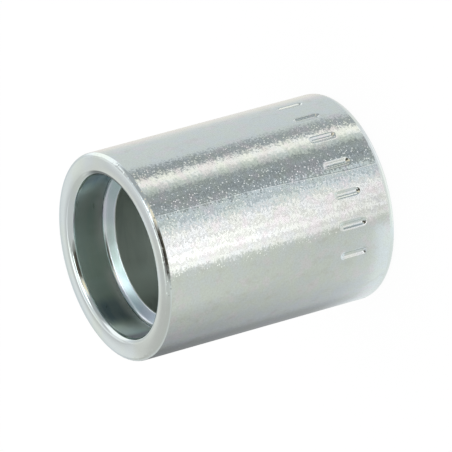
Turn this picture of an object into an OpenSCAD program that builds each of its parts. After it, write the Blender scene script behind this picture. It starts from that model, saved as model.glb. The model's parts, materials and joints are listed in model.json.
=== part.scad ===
// Crimp hose ferrule: one turned and plated steel sleeve that is squeezed over a hydraulic
// hose end. It stands on its fitting end, with the hose end up, on the Z axis. Millimetres.

/* [Sleeve] */
// Outside diameter before crimping
outer_d = 17; // [15:0.1:24]
// Overall length
sleeve_l = 21.3; // [18:0.1:40]
// Rounding of the outer edge at the hose end
hose_edge_r = 0.35; // [0.1:0.05:0.8]
// Rounding of the outer edge at the fitting end
fitting_edge_r = 0.65; // [0.1:0.05:1]

/* [Cover pocket] */
// Diameter of the pocket round the hose's rubber cover
pocket_d = 13.3; // [12.4:0.1:14]
// Depth of the pocket's wall below the hose end
pocket_l = 3.25; // [2:0.05:6]
// Rounding of the pocket's mouth
pocket_mouth_r = 0.5; // [0.1:0.05:0.6]
// Fillet between the pocket's wall and the shoulder
pocket_fillet_r = 0.35; // [0.1:0.05:0.5]

/* [Hose bore] */
// Diameter of the bore round the hose's bared wire braid
bore_d = 11.3; // [10:0.1:11.8]
// Full cone angle of the shoulder between the pocket and the bore
shoulder_angle = 140; // [90:1:170]

/* [Grip grooves] */
// Width of a groove at the bore's wall
groove_w = 1.3; // [0.8:0.1:1.6]
// Width of a groove at its floor
groove_floor_w = 0.6; // [0.3:0.1:0.7]
// Depth of a groove
groove_depth = 0.45; // [0.2:0.05:0.6]
// Distance from one groove to the next
groove_pitch = 2.3; // [1.8:0.1:3.5]
// Plain wall between the shoulder and the nearest groove, at least
groove_lead_l = 3.6; // [2:0.1:6]
// Plain wall between the lip and the nearest groove
groove_root_l = 1.4; // [0.5:0.1:3]

/* [Locking lip] */
// Diameter of the hole in the lip that closes on the fitting's stem
lip_d = 9; // [7:0.1:9.6]
// Thickness of the lip
lip_l = 3; // [2:0.1:5]
// Edge break on both rims of the lip's hole
lip_edge_r = 0.3; // [0.1:0.05:0.5]

/* [Hidden] */
$fn = 128;
overrun = 1;
outer_r = outer_d / 2;
pocket_r = pocket_d / 2;
bore_r = bore_d / 2;
lip_r = lip_d / 2;
shoulder_slope = 90 - shoulder_angle / 2;
pocket_floor_z = sleeve_l - pocket_l;
bore_top_z = pocket_floor_z - (pocket_r - bore_r) * tan(shoulder_slope);
groove_room = bore_top_z - groove_lead_l - lip_l - groove_root_l;
groove_count = floor((groove_room - groove_w) / groove_pitch) + 1;

// What a rounding takes off a square corner at the origin that points to +X and +Y
module corner_round(r) {
    difference() {
        translate([-r, -r]) square(r + overrun);
        translate([-r, -r]) circle(r);
    }
}

// Space of the pocket and the bore, with the sloped shoulder between them
module hose_space() {
    polygon([
        [0, lip_l],
        [bore_r, lip_l],
        [bore_r, bore_top_z],
        [pocket_r, pocket_floor_z],
        [pocket_r, sleeve_l + overrun],
        [0, sleeve_l + overrun]
    ]);
}

// Metal that rounds the inner corner between the pocket's wall and the shoulder
module pocket_fillet() {
    reach = pocket_fillet_r * tan((90 - shoulder_slope) / 2);
    centre = [pocket_r - pocket_fillet_r, pocket_floor_z + reach];
    difference() {
        polygon([
            [pocket_r, pocket_floor_z],
            [pocket_r, pocket_floor_z + reach],
            centre,
            [pocket_r - reach * cos(shoulder_slope), pocket_floor_z - reach * sin(shoulder_slope)]
        ]);
        translate(centre) circle(pocket_fillet_r);
    }
}

// One grip groove, a trapezium whose mouth starts at the given height
module grip_groove(z) {
    flank = (groove_w - groove_floor_w) / 2;
    polygon([
        [bore_r - groove_depth, z - flank],
        [bore_r + groove_depth, z + flank],
        [bore_r + groove_depth, z + flank + groove_floor_w],
        [bore_r - groove_depth, z + groove_w + flank]
    ]);
}

// Half of the sleeve's lengthwise section, from the lip's hole out to the crimped wall
module sleeve_section() {
    difference() {
        translate([lip_r, 0]) square([outer_r - lip_r, sleeve_l]);
        difference() {
            hose_space();
            pocket_fillet();
        }
        for (i = [0 : groove_count - 1])
            grip_groove(lip_l + groove_root_l + i * groove_pitch);
        translate([outer_r, sleeve_l]) corner_round(hose_edge_r);
        translate([outer_r, 0]) mirror([0, 1]) corner_round(fitting_edge_r);
        translate([pocket_r, sleeve_l]) mirror([1, 0]) corner_round(pocket_mouth_r);
        translate([lip_r, lip_l]) mirror([1, 0]) corner_round(lip_edge_r);
        translate([lip_r, 0]) mirror([1, 0]) mirror([0, 1]) corner_round(lip_edge_r);
    }
}

module ferrule_sleeve() {
    color("silver") rotate_extrude() sleeve_section();
}

ferrule_sleeve();
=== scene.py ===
# %% [markdown]
# A crimp ferrule is the steel sleeve that dies squeeze over the end of a hydraulic hose. This
# lesson dresses one in bright zinc plate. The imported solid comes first: it fixes every size, so
# the sleeve below is built from its radii and heights and never from guesses.

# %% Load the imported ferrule
import json
import math

import bmesh
import bpy
from mathutils import Matrix, Vector


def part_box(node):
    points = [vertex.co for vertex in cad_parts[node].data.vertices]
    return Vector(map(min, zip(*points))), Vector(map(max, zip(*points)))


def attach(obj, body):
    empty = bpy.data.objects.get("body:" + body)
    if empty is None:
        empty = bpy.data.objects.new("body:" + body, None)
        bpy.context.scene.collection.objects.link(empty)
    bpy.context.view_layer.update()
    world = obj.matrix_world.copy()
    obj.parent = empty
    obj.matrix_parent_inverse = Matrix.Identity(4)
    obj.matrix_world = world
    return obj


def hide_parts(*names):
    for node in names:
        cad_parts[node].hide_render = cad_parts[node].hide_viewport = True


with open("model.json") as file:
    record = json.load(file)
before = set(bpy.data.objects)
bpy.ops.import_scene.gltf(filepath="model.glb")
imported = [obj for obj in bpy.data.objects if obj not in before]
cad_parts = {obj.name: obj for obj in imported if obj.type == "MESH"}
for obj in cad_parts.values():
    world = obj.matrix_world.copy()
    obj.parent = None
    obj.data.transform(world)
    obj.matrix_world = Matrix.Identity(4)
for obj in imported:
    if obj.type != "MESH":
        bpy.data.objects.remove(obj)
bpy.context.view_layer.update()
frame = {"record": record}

MM = 0.001
mounts = {mount["name"]: mount for mount in frame["record"]["mounts"]}


# %% [markdown]
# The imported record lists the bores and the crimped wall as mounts, each with a radius, a length and
# the height of its middle. Reading them gives the section's main corners. Only the small forms that
# no mount states, such as the fillet and the grooves, are written here as sizes.

# %% Read the section's sizes
def mount_radius(name):
    return mounts[name]["dims"]["r_mm"] * MM


def mount_span(name):
    """Lowest and highest point of a round mount's wall."""
    middle = mounts[name]["pos_m"][2]
    half = mounts[name]["dims"]["length_mm"] * MM / 2
    return middle - half, middle + half


sleeve_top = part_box("ferrule_sleeve")[1].z
outer_r = mount_radius("crimp_wall")
pocket_r = mount_radius("cover_pocket")
bore_r = mount_radius("hose_bore")
lip_r = mount_radius("lip_hole")
fitting_edge, wall_top = mount_span("crimp_wall")
hose_edge = sleeve_top - wall_top
mouth_edge = sleeve_top - mount_span("cover_pocket")[1]
bore_bottom, bore_top = mount_span("hose_bore")
lip_edge = mount_span("lip_hole")[0]

shoulder_slope = math.radians(20)
pocket_fillet = 0.245 * MM
bore_edge = 0.1 * MM
pocket_floor = bore_top + (pocket_r - bore_r) * math.tan(shoulder_slope)

groove_width = 1.3 * MM
groove_floor_width = 0.6 * MM
groove_depth = 0.45 * MM
groove_pitch = 2.3 * MM
groove_root = 1.4 * MM
groove_count = 4
groove_edge = 0.06 * MM
print("radii, mm:", [round(r / MM, 2) for r in (outer_r, pocket_r, bore_r, lip_r)])


# %% [markdown]
# The real sleeve is turned in a lathe, so it is a section swept round an axis. A cylinder with cuts
# would work too, but a spun section gives clean rings of faces and true roundings. The section is a
# ring of a few corner vertices, and a vertex bevel rounds each corner by its own amount.

# %% Draw the section
stamp_low = 2.5 * MM
stamp_high = 5.5 * MM


def groove_corners(low):
    """Four corners of one grip groove, from the top one down."""
    flank = (groove_width - groove_floor_width) / 2
    return [
        (bore_r, low + groove_width, groove_edge),
        (bore_r + groove_depth, low + groove_width - flank, groove_edge),
        (bore_r + groove_depth, low + flank, groove_edge),
        (bore_r, low, groove_edge),
    ]


section_corners = [
    (lip_r, 0.0, lip_edge),
    (outer_r, 0.0, fitting_edge),
    (outer_r, stamp_low, 0.0),
    (outer_r, stamp_high, 0.0),
    (outer_r, sleeve_top, hose_edge),
    (pocket_r, sleeve_top, mouth_edge),
    (pocket_r, pocket_floor, pocket_fillet),
    (bore_r, bore_top, bore_edge),
]
for index in reversed(range(groove_count)):
    section_corners += groove_corners(bore_bottom + groove_root + index * groove_pitch)
section_corners += [
    (bore_r, bore_bottom, groove_edge),
    (lip_r, bore_bottom, lip_edge),
]

rounding_steps = 8
stamp_rings = 30
sleeve = bmesh.new()
corners = [sleeve.verts.new((radius, 0.0, height)) for radius, height, rounding in section_corners]
for first, second in zip(corners, corners[1:] + corners[:1]):
    sleeve.edges.new((first, second))
for corner, (radius, height, rounding) in zip(corners, section_corners):
    if rounding:
        bmesh.ops.bevel(
            sleeve,
            geom=[corner],
            offset=rounding,
            offset_type="OFFSET",
            segments=rounding_steps if rounding > groove_edge else 2,
            profile=0.5,
            affect="VERTICES",
            material=-1,
        )
stamp_edge = sleeve.edges.get((corners[2], corners[3]))
bmesh.ops.subdivide_edges(sleeve, edges=[stamp_edge], cuts=stamp_rings)
print("section points:", len(sleeve.verts))


# %% [markdown]
# A spin turns the section into the sleeve. A spin's time grows with the square of its steps, so one
# slice is spun and then copied round. Merging the doubled seams closes the sleeve, and the normals
# are recalculated after that, because a spin can leave them inside out.

# %% Spin the sleeve
slice_count = 16
slice_steps = 40
slice_angle = math.tau / slice_count
merge_distance = 0.001 * MM
bmesh.ops.spin(
    sleeve,
    geom=sleeve.verts[:] + sleeve.edges[:],
    axis=(0, 0, 1),
    cent=(0, 0, 0),
    dvec=(0, 0, 0),
    angle=slice_angle,
    steps=slice_steps,
    use_duplicate=False,
)
one_slice = sleeve.verts[:] + sleeve.edges[:] + sleeve.faces[:]
for index in range(1, slice_count):
    copied = bmesh.ops.duplicate(sleeve, geom=one_slice)["geom"]
    bmesh.ops.rotate(
        sleeve,
        verts=[part for part in copied if isinstance(part, bmesh.types.BMVert)],
        cent=(0, 0, 0),
        matrix=Matrix.Rotation(index * slice_angle, 3, "Z"),
    )
bmesh.ops.remove_doubles(sleeve, verts=sleeve.verts[:], dist=merge_distance)
bmesh.ops.recalc_face_normals(sleeve, faces=sleeve.faces[:])
print("sleeve faces:", len(sleeve.faces), "closed:", all(edge.is_manifold for edge in sleeve.edges))


# %% [markdown]
# A row of plain bars is struck into the wall near the fitting end. A Boolean cut would leave ragged
# faces on a wall this finely divided, so the bars are pressed in by moving the wall's own vertices.
# Each bar has a flat floor and soft sides, and the sleeve stays one closed mesh.

# %% Strike the row of bars
bar_count = 7
bar_pitch = math.radians(17)
bar_first = math.radians(-34)
bar_length = 2.4 * MM
bar_half_width = 0.32 * MM
bar_floor_half = 0.10 * MM
bar_depth = 0.17 * MM
bar_middle = (stamp_low + stamp_high) / 2


def smooth_step(low, high, value):
    share = min(1.0, max(0.0, (value - low) / (high - low)))
    return share * share * (3 - 2 * share)


def bar_distance(vert):
    """Distance on the wall from a vertex to the nearest bar's middle line."""
    turn = math.atan2(vert.co.x, -vert.co.y)
    nearest = round((turn - bar_first) / bar_pitch)
    nearest = min(bar_count - 1, max(0, nearest))
    across = (turn - bar_first - nearest * bar_pitch) * outer_r
    along = max(0.0, abs(vert.co.z - bar_middle) - bar_length / 2 + bar_half_width)
    return math.hypot(across, along)


struck = 0
for vert in sleeve.verts:
    radius = math.hypot(vert.co.x, vert.co.y)
    if radius > outer_r - merge_distance and stamp_low < vert.co.z < stamp_high:
        sink = bar_depth * (1 - smooth_step(bar_floor_half, bar_half_width, bar_distance(vert)))
        if sink > 0:
            vert.co.x *= 1 - sink / radius
            vert.co.y *= 1 - sink / radius
            struck += 1
print("vertices moved by the bars:", struck)


# %% [markdown]
# Four finishes meet on the one piece: the pebbled wall, the smooth ends, the freshly cut shoulder and
# the dull inside. Each face gets the number of its finish by where it lies, and the mesh becomes an
# object at the origin.

# %% Make the sleeve object
WALL, ENDS, SHOULDER, INSIDE = range(4)


def finish_number(face):
    middle = face.calc_center_median()
    radius = math.hypot(middle.x, middle.y)
    if radius > (outer_r + pocket_r) / 2 and fitting_edge < middle.z < wall_top:
        return WALL
    if middle.z > sleeve_top - mouth_edge or middle.z < fitting_edge or radius < bore_r - lip_edge:
        return ENDS
    if bore_top < middle.z < pocket_floor + pocket_fillet:
        return SHOULDER
    return INSIDE


for face in sleeve.faces:
    face.smooth = True
    face.material_index = finish_number(face)
sleeve_mesh = bpy.data.meshes.new("plated_sleeve")
sleeve.to_mesh(sleeve_mesh)
sleeve.free()
plated_sleeve = bpy.data.objects.new("plated_sleeve", sleeve_mesh)
bpy.context.scene.collection.objects.link(plated_sleeve)
even_normals = plated_sleeve.modifiers.new("even_normals", "WEIGHTED_NORMAL")
even_normals.keep_sharp = True
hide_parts("ferrule_sleeve")
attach(plated_sleeve, "root")
print("triangles:", sum(len(polygon.vertices) - 2 for polygon in sleeve_mesh.polygons))


# %% [markdown]
# Shader graphs are easier to read as sums than as boxes. This small class wraps a socket, so that
# ordinary arithmetic adds Math nodes, and its graph has one method that adds any other node.

# %% A small kit for shader maths
class Graph:
    """The node tree of one material."""

    def __init__(self, tree):
        self.tree = tree
        self.tree.nodes.clear()

    def node(self, kind, settings=None, inputs=None, output=0):
        """Adds a node, sets it up, fills its sockets, and returns one of its outputs, if it has any."""
        made = self.tree.nodes.new(kind)
        for name, value in (settings or {}).items():
            setattr(made, name, value)
        for name, value in (inputs or {}).items():
            self.fill(self.find(made.inputs, name), value)
        return Value(self, self.find(made.outputs, output)) if made.outputs else None

    def find(self, sockets, name):
        if isinstance(name, int):
            return [socket for socket in sockets if socket.enabled][name]
        return next(socket for socket in sockets if socket.enabled and socket.name == name)

    def fill(self, socket, value):
        if isinstance(value, Value):
            self.tree.links.new(value.socket, socket)
        else:
            socket.default_value = value

    def mix(self, share, first, second):
        """A colour between two others."""
        return self.node(
            "ShaderNodeMix",
            {"data_type": "RGBA"},
            {"Factor": share, "A": first, "B": second},
        )

    def vector(self, operation, **inputs):
        """Vector Math, with its sockets named first, second and scale."""
        names = {"first": 0, "second": 1, "scale": "Scale"}
        filled = {names[name]: value for name, value in inputs.items()}
        return self.node("ShaderNodeVectorMath", {"operation": operation}, filled)

    def step(self, value, low, high):
        """A smooth rise from 0 at low to 1 at high."""
        return self.node(
            "ShaderNodeMapRange",
            {"interpolation_type": "SMOOTHSTEP"},
            {"Value": value, "From Min": low, "From Max": high},
        )

    def ramp(self, value, low, high, first, last):
        """A straight rise from first, where the value is low, to last, where it is high."""
        ends = {"From Min": low, "From Max": high, "To Min": first, "To Max": last}
        return self.node("ShaderNodeMapRange", {}, {"Value": value, **ends})

    def between(self, value, low, high, soft):
        """1 between low and high, 0 outside, with soft edges."""
        above_low = self.step(value, low - soft, low + soft)
        above_high = self.step(value, high - soft, high + soft)
        return above_low * (1 - above_high)


class Value:
    """A number in a shader. Arithmetic on it adds Math nodes."""

    def __init__(self, graph, socket):
        self.graph = graph
        self.socket = socket

    def math(self, operation, *terms):
        return self.graph.node("ShaderNodeMath", {"operation": operation}, dict(enumerate(terms)))

    def __add__(self, other):
        return self.math("ADD", self, other)

    def __radd__(self, other):
        return self.math("ADD", other, self)

    def __sub__(self, other):
        return self.math("SUBTRACT", self, other)

    def __rsub__(self, other):
        return self.math("SUBTRACT", other, self)

    def __mul__(self, other):
        return self.math("MULTIPLY", self, other)

    def __rmul__(self, other):
        return self.math("MULTIPLY", other, self)


def new_material(name):
    material = bpy.data.materials.new(name)
    material.use_nodes = True
    return material, Graph(material.node_tree)


def colour(red, green, blue):
    return (red, green, blue, 1.0)


def grey(level, tint=(1.0, 1.0, 1.0)):
    return colour(*[level * part for part in tint])


def place_in_mm(graph, stretch=(1.0, 1.0, 1.0)):
    """Object coordinates in millimetres, stretched along each axis."""
    place = graph.node("ShaderNodeTexCoord", output="Object")
    return graph.vector("MULTIPLY", first=place, second=[part / MM for part in stretch])


def height_in_mm(graph):
    return graph.node("ShaderNodeSeparateXYZ", {}, {0: place_in_mm(graph)}, output="Z")


def turn_in_degrees(graph):
    """The angle round the axis, counted from the camera's side."""
    place = place_in_mm(graph)
    across, depth = [
        graph.node("ShaderNodeSeparateXYZ", {}, {0: place}, output=axis)
        for axis in ("X", "Y")
    ]
    return across.math("ARCTAN2", across, 0 - depth) * math.degrees(1)


def radius_in_mm(graph):
    """The distance from the axis."""
    flat_place = place_in_mm(graph, (1.0, 1.0, 0.0))
    return graph.node("ShaderNodeVectorMath", {"operation": "LENGTH"}, {0: flat_place}, output="Value")


def noise(graph, place, scale, detail=2.0):
    return graph.node(
        "ShaderNodeTexNoise",
        {"noise_dimensions": "3D"},
        {"Vector": place, "Scale": scale, "Detail": detail},
        output="Fac",
    )


def finish_metal(graph, film, roughness, normal=None):
    """A bright metal with the given film colour."""
    inputs = {"Base Color": film, "Metallic": 1.0, "Roughness": roughness}
    if normal:
        inputs["Normal"] = normal
    shader = graph.node("ShaderNodeBsdfPrincipled", {}, inputs)
    graph.node("ShaderNodeOutputMaterial", {}, {"Surface": shader})


print("shader kit ready")


# %% [markdown]
# The wall is zinc on a drawn tube. Zinc grows in tiny nodules, so the wall is bright but pebbled. A
# bump map would only dimple the mirror, so here the normal itself leans: a Voronoi texture gives each
# nodule a small dome of its own size, tilted so that it catches a light card. The nodules show in
# strips along the sleeve, and the metal between them is rubbed flat. Brush strokes and a fine grain
# tilt the normal round the axis, and so does one raised line that the drawing die left. A clear film
# adds faint green, blue and lilac clouds and a few dull stains.

# %% Finish the wall
film_green = colour(0.81, 0.87, 0.825)
film_blue = colour(0.80, 0.86, 0.87)
film_lilac = colour(0.85, 0.845, 0.865)
stain_brown = colour(0.66, 0.66, 0.61)
blue_scale = 0.9
blue_edge = (0.40, 0.60)
lilac_scale = 0.8
lilac_edge = (0.52, 0.68)
stain_stretch = (1.2, 1.2, 0.8)
stain_detail = 6.0
stain_edge = (0.54, 0.78)
stain_share = 0.45
speck_scale = 7.0
speck_edge = (0.30, 0.70)
speck_share = 0.26
wall_roughness = 0.10
rub_roughness = 0.12
rub_scale = 0.8

nodule_scale = 4.4
nodule_dome = (3.0, 3.0, 1.8)
nodule_core = 0.19
nodule_end = 0.36
nodule_spread = 0.10
catch_turns = (-30.0, 25.0)
catch_tilts = (0.47, -0.49)
stroke_stretch = (2.6, 2.6, 6.5)
stroke_tilt = 0.06
grain_scale = 5.5
grain_tilt = 0.12
die_line_heights = (3.0, 12.5)
die_line_turns = (11.6, 15.0)
die_line_half = 0.35
die_line_soft = 0.2
die_line_slope = 0.7

# Each strip: from, to and softness in degrees, then its amount
pebbled_strips = [
    (4, 26, 3, 1.0),
    (36, 46, 4, 0.35),
    (-22, -15, 2, 0.25),
    (95, 200, 10, 0.7),
    (-200, -95, 10, 0.7),
]
stroked_strips = [(-13, 20, 5, 0.14)]
grained_strips = [(-5, 26, 6, 0.16), (36, 47, 4, 0.14)]


def in_strips(graph, turn, strips):
    """The amount of the strip that a point lies in, 0 between the strips."""
    total = 0.0
    for first, last, soft, amount in strips:
        total = total + amount * graph.between(turn, first, last, soft)
    return total


def wall_film(graph):
    """Film clouds, a few stains and fine specks."""
    place = place_in_mm(graph)
    film = graph.mix(graph.step(noise(graph, place, blue_scale), *blue_edge), film_green, film_blue)
    film = graph.mix(graph.step(noise(graph, place, lilac_scale), *lilac_edge), film, film_lilac)
    stains = noise(graph, place_in_mm(graph, stain_stretch), 1.0, stain_detail)
    film = graph.mix(graph.step(stains, *stain_edge) * stain_share, film, stain_brown)
    specks = noise(graph, place, speck_scale)
    return graph.mix(graph.step(specks, *speck_edge) * speck_share, film, stain_brown)


def round_the_axis(graph):
    """The direction round the axis at each point of the wall."""
    return graph.vector("CROSS_PRODUCT", first=(0.0, 0.0, MM / outer_r), second=place_in_mm(graph))


def leaning_normal(graph, lean):
    """The surface's own normal, turned by a small vector."""
    facing = graph.node("ShaderNodeNewGeometry", output="Normal")
    return graph.vector("NORMALIZE", first=graph.vector("ADD", first=facing, second=lean))


def wall_normal(graph):
    """The wall's normal, leaning with its nodules, its brush strokes, its grain and one die line."""
    place = place_in_mm(graph)
    turn = turn_in_degrees(graph)
    cells = {"Vector": place, "Scale": nodule_scale}
    distance, middle, chance = [
        graph.node("ShaderNodeTexVoronoi", {}, cells, output=name)
        for name in ("Distance", "Position", "Color")
    ]
    chance = graph.node("ShaderNodeSeparateXYZ", {}, {0: chance}, output="X")
    reach = distance + nodule_spread * (1 - chance)
    nodule = (1 - graph.step(reach, nodule_core, nodule_end)) * in_strips(graph, turn, pebbled_strips)
    offset = graph.vector("SUBTRACT", first=place, second=middle)
    dome = graph.vector("MULTIPLY", first=offset, second=nodule_dome)
    nodules = graph.vector("SCALE", first=dome, scale=nodule)
    catch = graph.ramp(turn, *catch_turns, *catch_tilts)

    strokes = noise(graph, place_in_mm(graph, stroke_stretch), 1.0) - 0.5
    stroked = stroke_tilt + in_strips(graph, turn, stroked_strips)
    grain = noise(graph, place, grain_scale) - 0.5
    grained = grain_tilt + in_strips(graph, turn, grained_strips)
    line = turn - graph.ramp(height_in_mm(graph), *die_line_heights, *die_line_turns)
    ridge = line * die_line_slope * graph.between(line, -die_line_half, die_line_half, die_line_soft)
    tilt = strokes * stroked + grain * grained + ridge + nodule * catch
    sideways = graph.vector("SCALE", first=round_the_axis(graph), scale=tilt)
    return leaning_normal(graph, graph.vector("ADD", first=nodules, second=sideways))


def wall_finish():
    material, graph = new_material("zinc_satin_wall")
    rubbing = noise(graph, place_in_mm(graph), rub_scale)
    roughness = wall_roughness + rub_roughness * rubbing
    finish_metal(graph, wall_film(graph), roughness, wall_normal(graph))
    return material


print("pebbled strips:", len(pebbled_strips))


# %% [markdown]
# The ends, the shoulder and the inside are turned surfaces under the same plate, smoother than the
# wall. Handling leaves small nicks on the outer edges. Light and shade are painted into the film by
# angle: painted shade on one side of the ends, a painted dark reflection in an arc of the mouth's
# rounding with painted shade beside it, a painted dark reflection on the hose end's edge, painted shade
# and a painted highlight on the shoulder, painted reflections in the pocket and a painted highlight in
# the bore. The shoulder's own film is the bluest, the pocket's is patchy, and the bore's is dull, since
# the plating bath reaches it last. A painted mask could hold all this, but each patch is only a span of
# angles, heights or radii, so it is written as one. Lengths in this cell are millimetres.

# %% Finish the ends, the shoulder and the inside
# Painted shade: a darker film for one side of the ends and beside the mouth.
painted_shade_tone = colour(0.75, 0.79, 0.75)
# Painted dark reflection for an arc of the mouth's rounding.
painted_dark_arc = colour(0.17, 0.185, 0.18)
# Painted dark reflection for the hose end's outer edge on the camera's side.
painted_edge_reflection = colour(0.40, 0.41, 0.39)
shoulder_teal = colour(0.66, 0.78, 0.81)
shoulder_violet = colour(0.72, 0.76, 0.84)
# Painted shade and a painted highlight for the shoulder.
painted_shoulder_shade = colour(0.50, 0.60, 0.64)
painted_shoulder_highlight = colour(0.86, 0.95, 0.96)
bore_film = colour(0.55, 0.60, 0.565)
# Painted highlight for one span of the bore.
painted_bore_sheen = colour(0.72, 0.79, 0.75)
ring_light = colour(0.80, 0.84, 0.78)
pocket_film = colour(0.64, 0.75, 0.69)
pocket_cloud = colour(0.74, 0.86, 0.84)
# Painted reflections for the pocket: a pale one, a dark one, a bright glint and a violet one.
painted_pale_reflection = colour(0.95, 1.0, 1.0)
painted_dark_reflection = colour(0.37, 0.47, 0.54)
painted_pocket_glint = colour(1.0, 1.0, 1.0)
painted_violet_reflection = colour(0.66, 0.56, 0.66)

nick_inset = 0.1
nick_scale = 3.0
nick_detail = 3.0
nick_edge = (0.50, 0.62)
nick_lean_scale = 4.0
nick_tilt = 1.4
mouth_soft = 0.12
shade_reach = 0.7
# Painted shade on one side of the ends, as a span of angles.
shaded_ends_strips = [(-94, -32, 6, 1.0)]
# Painted dark reflection in the mouth's rounding, with painted shade beside it, on this span.
dark_arc_strips = [(26, 90, 10, 1.0)]
# Painted dark reflection on the hose end's edge: its span, its radii and its wandering border.
edge_reflection_strips = [(-16, 12, 3, 1.0)]
edge_reflection_inset = (0.21, 0.04)
edge_reflection_soft = 0.02
edge_reflection_wander = 0.12
edge_reflection_scale = 2.0
# Painted shade on two spans of the shoulder, and a painted highlight outside the next span.
shoulder_shade_strips = [(-152, -130, 6, 0.5), (106, 132, 8, 0.5)]
shoulder_film_strips = [(-168, 154, 6, 1.0)]
# Painted reflections in the pocket, each on a span of angles; the glint lies near the pocket's floor.
pale_reflection_strips = [(116, 140, 8, 0.4), (-128, -106, 8, 1.0)]
dark_reflection_strips = [(88, 116, 8, 1.0), (-152, -131, 5, 1.0)]
glint_strips = [(128, 170, 10, 1.0), (-172, -130, 8, 1.0)]
violet_reflection_strips = [(-107, -85, 5, 1.0)]
glint_rise = (0.25, 1.35)
# Painted highlight on one span of the bore.
bore_sheen_strips = [(-166, -138, 8, 1.0)]

ends_cloud_scale = 0.3
ends_cloud_edge = (0.40, 0.60)
ends_roughness = 0.06
turned_stretch = (0.3, 0.3, 6.0)
turned_scale = 1.5
turned_roughness = 0.10
shoulder_cloud_scale = 0.35
shoulder_cloud_edge = (0.38, 0.62)
shoulder_roughness = 0.14
pocket_cloud_stretch = (1.0, 1.0, 0.5)
pocket_cloud_scale = 0.5
pocket_cloud_edge = (0.40, 0.62)
pocket_cloud_share = 0.5
bored_stretch = (0.25, 0.25, 1.6)
bored_scale = 1.2
bored_edge = (0.40, 0.60)
bored_share = 0.2
bored_roughness = 0.08
inside_roughness = 0.40
pocket_smoothness = 0.15


def nicked_normal(graph):
    """The ends' normal, leaning where small nicks mark the outer edges."""
    place = place_in_mm(graph)
    edge_start = (outer_r - hose_edge) / MM - nick_inset
    edge_end = outer_r / MM - nick_inset
    edge = graph.step(radius_in_mm(graph), edge_start, edge_end)
    nicks = graph.step(noise(graph, place, nick_scale, nick_detail), *nick_edge) * edge
    tilt = nicks * (noise(graph, place, nick_lean_scale) - 0.5) * nick_tilt
    return leaning_normal(graph, graph.vector("SCALE", first=round_the_axis(graph), scale=tilt))


def ends_finish():
    material, graph = new_material("zinc_turned_ends")
    turn = turn_in_degrees(graph)
    radius = radius_in_mm(graph)
    mouth_end = (pocket_r + mouth_edge) / MM
    clouds = noise(graph, place_in_mm(graph), ends_cloud_scale)
    film = graph.mix(graph.step(clouds, *ends_cloud_edge), film_green, film_blue)
    # Painted shade darkens the ends on one side.
    film = graph.mix(in_strips(graph, turn, shaded_ends_strips), film, painted_shade_tone)
    # Painted shade beside the mouth and a painted dark reflection in its rounding, on one side.
    dark_arc_side = in_strips(graph, turn, dark_arc_strips)
    beside_mouth = 1 - graph.step(radius, mouth_end, mouth_end + shade_reach)
    film = graph.mix(dark_arc_side * beside_mouth, film, painted_shade_tone)
    in_mouth = 1 - graph.step(radius, mouth_end - mouth_soft, mouth_end)
    film = graph.mix(dark_arc_side * in_mouth, film, painted_dark_arc)
    # A painted dark reflection on the hose end's outer edge, on the camera's side.
    ragged = radius + edge_reflection_wander * (noise(graph, place_in_mm(graph), edge_reflection_scale) - 0.5)
    edge_mirror_radii = [outer_r / MM - inset for inset in edge_reflection_inset]
    edge_mirror_mask = in_strips(graph, turn, edge_reflection_strips)
    edge_mirror_mask = edge_mirror_mask * graph.between(ragged, *edge_mirror_radii, edge_reflection_soft)
    hose_end = graph.step(height_in_mm(graph), bore_top / MM, pocket_floor / MM)
    film = graph.mix(edge_mirror_mask * hose_end, film, painted_edge_reflection)
    rings = noise(graph, place_in_mm(graph, turned_stretch), turned_scale)
    finish_metal(graph, film, ends_roughness + turned_roughness * rings, nicked_normal(graph))
    return material


def shoulder_finish():
    material, graph = new_material("zinc_blue_shoulder")
    turn = turn_in_degrees(graph)
    clouds = noise(graph, place_in_mm(graph), shoulder_cloud_scale)
    film = graph.mix(graph.step(clouds, *shoulder_cloud_edge), shoulder_teal, shoulder_violet)
    # Painted shade on two spans, then a painted highlight at the back.
    film = graph.mix(in_strips(graph, turn, shoulder_shade_strips), film, painted_shoulder_shade)
    film = graph.mix(in_strips(graph, turn, shoulder_film_strips), painted_shoulder_highlight, film)
    rings = noise(graph, place_in_mm(graph, turned_stretch), turned_scale)
    finish_metal(graph, film, shoulder_roughness + turned_roughness * rings)
    return material


def inside_finish():
    material, graph = new_material("zinc_dull_inside")
    turn = turn_in_degrees(graph)
    pocket = graph.step(height_in_mm(graph), bore_top / MM, pocket_floor / MM)
    film = graph.mix(pocket, bore_film, pocket_film)
    clouds = noise(graph, place_in_mm(graph, pocket_cloud_stretch), pocket_cloud_scale)
    clouds = graph.step(clouds, *pocket_cloud_edge)
    film = graph.mix(clouds * pocket * pocket_cloud_share, film, pocket_cloud)
    # Painted reflections in the pocket: pale, dark and violet spans, and a bright glint near its floor.
    film = graph.mix(in_strips(graph, turn, pale_reflection_strips) * pocket, film, painted_pale_reflection)
    film = graph.mix(in_strips(graph, turn, dark_reflection_strips) * pocket, film, painted_dark_reflection)
    film = graph.mix(in_strips(graph, turn, violet_reflection_strips) * pocket, film, painted_violet_reflection)
    glint_heights = [pocket_floor / MM + rise for rise in glint_rise]
    deep = pocket * (1 - graph.step(height_in_mm(graph), *glint_heights))
    film = graph.mix(in_strips(graph, turn, glint_strips) * deep, film, painted_pocket_glint)
    # A painted highlight on one span of the bore.
    film = graph.mix(in_strips(graph, turn, bore_sheen_strips) * (1 - pocket), film, painted_bore_sheen)
    rings = noise(graph, place_in_mm(graph, bored_stretch), bored_scale)
    film = graph.mix(graph.step(rings, *bored_edge) * bored_share, film, ring_light)
    roughness = inside_roughness + bored_roughness * rings - pocket_smoothness * pocket
    finish_metal(graph, film, roughness)
    return material


for finish in (wall_finish, ends_finish, shoulder_finish, inside_finish):
    sleeve_mesh.materials.append(finish())
print("finishes:", [material.name for material in sleeve_mesh.materials])


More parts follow.
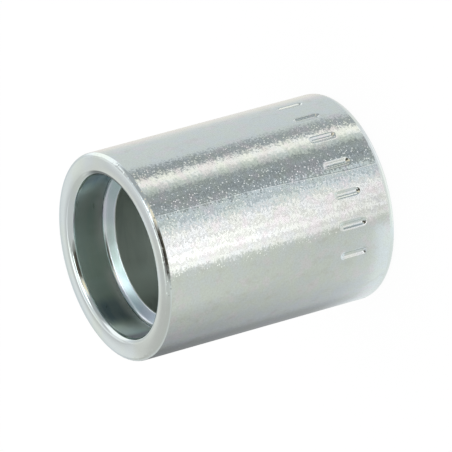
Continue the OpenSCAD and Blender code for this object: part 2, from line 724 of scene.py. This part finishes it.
# %% [markdown]
# The photograph was taken with a long lens and the sleeve lying over, so the camera here is high
# above the standing sleeve and rolled on its side. The rim's middle is put back on its own pixel.

# %% Place the camera
image_side_px = 452
focal_px = 7500
rim_px = (112.3, 257.7)
rim_distance = 592.8 * MM
camera_lift = math.radians(28.1)
camera_roll = math.radians(-105.4)
sensor_mm = 36.0
view_reach = 20.0

towards_camera = Vector((0.0, -math.cos(camera_lift), math.sin(camera_lift)))
level_view = (-towards_camera).to_track_quat("-Z", "Y")
turned_view = level_view @ Matrix.Rotation(camera_roll, 3, "Z").to_quaternion()
rim_right = (rim_px[0] - image_side_px / 2) / focal_px * rim_distance
rim_up = (image_side_px / 2 - rim_px[1]) / focal_px * rim_distance
rim_from_camera = turned_view @ Vector((rim_right, rim_up, -rim_distance))

camera_data = bpy.data.cameras.new("long_lens")
camera_data.sensor_width = sensor_mm
camera_data.lens = sensor_mm * focal_px / image_side_px
camera_data.clip_end = view_reach
camera = bpy.data.objects.new("camera", camera_data)
camera.rotation_mode = "QUATERNION"
camera.rotation_quaternion = turned_view
camera.location = Vector((0.0, 0.0, sleeve_top)) - rim_from_camera
bpy.context.scene.collection.objects.link(camera)
bpy.context.scene.camera = camera
print("lens, mm:", round(camera_data.lens, 1))


# %% [markdown]
# The floor is white paper. It is lit like any paper, and a share of plain white is mixed in for the
# rays that see it directly, so that the ground stays white and still holds a soft shadow. Mirror rays
# skip the floor, because the cards of the next step stand for it.

# %% Lay the floor
paper_tone = colour(0.9, 0.9, 0.9)
white_level = 1.015
white_share = 0.93
floor_half = 4.0
floor_drop = 0.01 * MM


def seen_directly(graph):
    """1 for camera, mirror and glass rays, 0 for the light that falls on things."""
    rays = ("Is Camera Ray", "Is Glossy Ray", "Is Transmission Ray")
    camera_ray, glossy_ray, glass_ray = [
        graph.node("ShaderNodeLightPath", output=name)
        for name in rays
    ]
    return camera_ray + glossy_ray + glass_ray


def floor_paper():
    material, graph = new_material("white_paper")
    paper = graph.node("ShaderNodeBsdfDiffuse", {}, {"Color": paper_tone})
    white = graph.node("ShaderNodeEmission", {}, {"Color": colour(1, 1, 1), "Strength": white_level})
    share = seen_directly(graph) * white_share
    look = graph.node("ShaderNodeMixShader", {}, {0: share, 1: paper, 2: white})
    graph.node("ShaderNodeOutputMaterial", {}, {"Surface": look})
    return material


floor_bm = bmesh.new()
bmesh.ops.create_grid(floor_bm, x_segments=1, y_segments=1, size=floor_half)
floor_mesh = bpy.data.meshes.new("floor")
floor_bm.to_mesh(floor_mesh)
floor_bm.free()
floor_mesh.materials.append(floor_paper())
floor = bpy.data.objects.new("floor", floor_mesh)
bpy.context.scene.collection.objects.link(floor)
floor.location.z = -floor_drop
floor.visible_glossy = False
floor.visible_shadow = False
print("floor side, m:", 2 * floor_half)


# %% [markdown]
# Polished metal is a picture of what stands round it, so a studio rings it with cards. Single planes
# would leave gaps between them in the mirror, so the ring below is one drum with a lid. Its paper is
# painted in upright strips of grey and white, which the wall mirrors as bands along the sleeve. Only
# mirror rays see it.

# %% Ring the sleeve with cards
drum_r = 70 * MM
drum_low = -160 * MM
drum_high = 240 * MM
drum_steps = 96

drum_bm = bmesh.new()
drum_line = [(drum_r, drum_low), (drum_r, drum_high), (0.0, drum_high)]
drum_verts = [drum_bm.verts.new((0.0, radius, height)) for radius, height in drum_line]
for first, second in zip(drum_verts, drum_verts[1:]):
    drum_bm.edges.new((first, second))
bmesh.ops.spin(
    drum_bm,
    geom=drum_bm.verts[:] + drum_bm.edges[:],
    axis=(0, 0, 1),
    cent=(0, 0, 0),
    dvec=(0, 0, 0),
    angle=math.tau,
    steps=drum_steps,
    use_merge=True,
    use_duplicate=False,
)
bmesh.ops.remove_doubles(drum_bm, verts=drum_bm.verts[:], dist=merge_distance)
drum_mesh = bpy.data.meshes.new("card_drum")
drum_bm.to_mesh(drum_mesh)
drum_bm.free()
card_drum = bpy.data.objects.new("card_drum", drum_mesh)
bpy.context.scene.collection.objects.link(card_drum)
card_drum.visible_camera = False
card_drum.visible_diffuse = False
card_drum.visible_shadow = False
card_drum.visible_transmission = False
print("drum across, mm:", round(2 * drum_r / MM))


# %% [markdown]
# Each card is a strip between two angles, counted in degrees round from the camera, with its own
# softness and tint. An angle past 180 lets a strip run on to the back. The wall mirrors a card higher
# up near the mouth than near the foot, so each strip fades from one level to another with height, and
# faint ribs make its light uneven. Above the cards stands the room that the rim and its roundings
# mirror: patches with a height as well, bright over the front, dark behind the lens.

# %% Paint the cards
cool = (0.96, 1.0, 1.02)
slate = (0.92, 0.99, 1.03)
warm = (1.03, 0.99, 0.94)
rose = (1.04, 1.0, 1.0)
mint = (0.94, 1.0, 0.95)
plain = (0.99, 1.0, 0.99)
leaf = (0.98, 1.0, 0.95)
lilac = (0.97, 0.99, 1.02)
amber = (1.10, 0.98, 0.76)
cards = [
    # from, to, softness, level at the mouth, level at the foot, tint
    (86, 210, 5, 0.70, 0.70, cool),
    (142, 210, 12, 0.82, 0.84, warm),
    (74, 86, 3, 0.33, 0.38, slate),
    (53, 66, 4, 0.64, 0.63, mint),
    (62, 72, 4, 1.13, 1.16, warm),
    (-210, 27, 5, 0.68, 0.68, slate),
    (-210, 11, 5, 1.04, 0.90, rose),
    (-210, -7, 6, 1.28, 0.84, rose),
    (-210, -30, 4, 0.68, 0.58, leaf),
    (-210, -78, 14, 0.49, 0.62, leaf),
    (-210, -104, 14, 0.37, 0.56, lilac),
    (-210, -130, 10, 0.22, 0.38, lilac),
]
gap = 0.35
card_foot = (-58, -46)
card_fade = (-34, -12)
card_top = (-6, 0)
foot_level = 0.8
low_card = (-210, -40, 8)
low_card_top = (-38, -30)
low_card_level = 0.88
ribbed = (-30, 52, 4)
rib_rate = 0.6
rib_depth = 0.34
room = [
    # from, to, softness, lowest, highest, softness in height, level, tint
    (-400, 400, 1, -20, 57.5, 2.5, 0.82, plain),
    (-400, 400, 1, -20, 49, 3, 0.70, cool),
    (172, 400, 6, 80, 400, 8, 1.4, plain),
    (-400, -172, 6, 80, 400, 8, 1.4, plain),
    (150, 170, 6, 80, 160, 8, 0.85, plain),
    (-162, -44, 8, 30, 400, 5, 0.58, plain),
    (97, 145, 8, -20, 80, 10, 1.12, plain),
    (136, 174, 8, 62, 84, 4, 0.86, plain),
    (90, 150, 8, 110, 400, 15, 0.75, cool),
    (18, 92, 8, -20, 105, 15, 0.42, cool),
    (20, 40, 5, -20, 90, 10, 0.85, amber),
    (34, 47, 4, 55, 165, 10, 1.0, plain),
    (-38, -20, 5, -20, 168, 8, 0.28, plain),
    (-24, 16, 3, -20, 178, 8, 0.10, amber),
    (-22, 8, 3, 34, 66, 6, 0.05, plain),
    (-30, 40, 10, 184, 400, 5, 3.6, cool),
    (40, 88, 8, 135, 400, 10, 2.4, cool),
    (-400, 400, 1, 239, 400, 0.5, 1.15, cool),
    (-130, 30, 10, 239, 400, 0.5, 0.42, plain),
]
room_level = 0.57


def card_paper(graph, turn, rise):
    """The upright strips, with grey gaps between them."""
    paper = grey(gap, slate)
    for first, last, soft, at_mouth, at_foot, tint in cards:
        card = graph.mix(rise, grey(at_foot, tint), grey(at_mouth, tint))
        paper = graph.mix(graph.between(turn, first, last, soft), paper, card)
    ribs = turn.math("SINE", turn * rib_rate) * graph.between(turn, *ribbed)
    return graph.vector("SCALE", first=paper, scale=1 + rib_depth * ribs)


def room_paper(graph, turn, height):
    """What the rim and its roundings mirror above the cards."""
    paper = grey(room_level)
    for first, last, soft, low, high, fade, level, tint in room:
        patch = graph.between(turn, first, last, soft) * graph.between(height, low, high, fade)
        paper = graph.mix(patch, paper, grey(level, tint))
    return paper


def drum_paper():
    material, graph = new_material("card_drum_paper")
    turn = turn_in_degrees(graph)
    height = height_in_mm(graph)
    paper = card_paper(graph, turn, graph.step(height, *card_fade))
    paper = graph.mix(graph.step(height, *card_foot), grey(foot_level), paper)
    low = graph.between(turn, *low_card) * (1 - graph.step(height, *low_card_top))
    paper = graph.mix(low, paper, grey(low_card_level, cool))
    paper = graph.mix(graph.step(height, *card_top), paper, room_paper(graph, turn, height))
    glow = graph.node("ShaderNodeEmission", {}, {"Color": paper, "Strength": 1.0})
    graph.node("ShaderNodeOutputMaterial", {}, {"Surface": glow})
    return material


drum_mesh.materials.append(drum_paper())
print("cards:", len(cards), "room patches:", len(room))


# %% [markdown]
# A wide soft box overhead and a plain grey world light the paper. Mirror rays skip the soft box,
# because the drum already holds what the metal mirrors. The world is white where it is seen directly.

# %% Light the set
box_height = 600 * MM
box_side = 500 * MM
box_level = 1.0
world_level = 0.8


def soft_box(name, place, size, level):
    """A square area lamp that points down, whose face has the given brightness."""
    lamp_data = bpy.data.lights.new(name, "AREA")
    lamp_data.shape = "SQUARE"
    lamp_data.size = size
    lamp_data.energy = level * math.pi * size * size
    lamp = bpy.data.objects.new(name, lamp_data)
    lamp.location = place
    lamp.visible_glossy = False
    bpy.context.scene.collection.objects.link(lamp)


def studio_world():
    world = bpy.data.worlds.new("studio")
    world.use_nodes = True
    graph = Graph(world.node_tree)
    level = graph.mix(seen_directly(graph), grey(world_level), grey(1.0))
    sky = graph.node("ShaderNodeBackground", {}, {"Color": level, "Strength": 1.0})
    graph.node("ShaderNodeOutputWorld", {}, {"Surface": sky})
    return world


soft_box("top_box", (0.0, 0.0, box_height), box_side, box_level)
bpy.context.scene.world = studio_world()
bpy.context.scene.view_settings.view_transform = "Standard"
